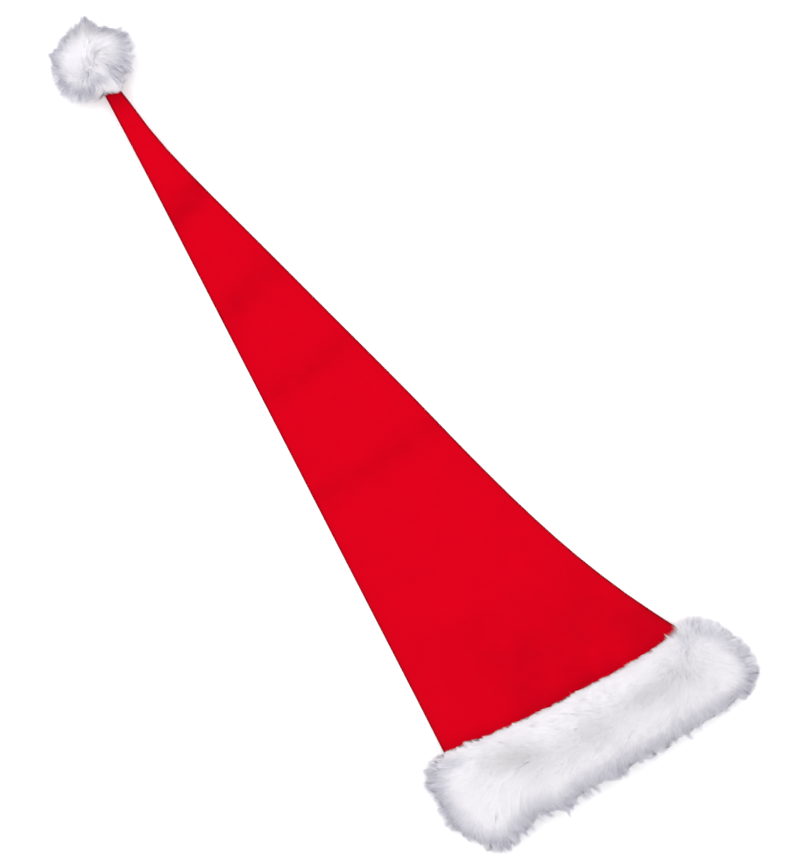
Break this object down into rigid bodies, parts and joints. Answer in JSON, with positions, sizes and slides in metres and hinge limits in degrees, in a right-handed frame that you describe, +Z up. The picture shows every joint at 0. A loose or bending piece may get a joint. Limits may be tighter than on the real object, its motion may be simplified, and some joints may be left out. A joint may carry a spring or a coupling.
{
  "type": "santa hat",
  "caption": "Long floppy santa hat of red felted cloth lying flat: a hollow tapering cone with a deep white plush cuff round its open mouth and a white plush pompom at its tip.",
  "frame": {"origin": "on the surface that the hat lies on, under the middle of its bounding box", "axes": "+Y along the folded edge from the mouth to the pompom, +X from the folded edge to the sewn edge, +Z up"},
  "size_m": [0.3576, 0.9302, 0.0821],
  "materials": {
    "red_cloth": "matte brushed felt",
    "white_plush": "long soft pile",
    "pompom_plush": "long soft pile"
  },
  "bodies": {
    "root": {"crown": "red_cloth", "fur_band": "white_plush", "pompom": "pompom_plush"}
  },
  "joints": []
}
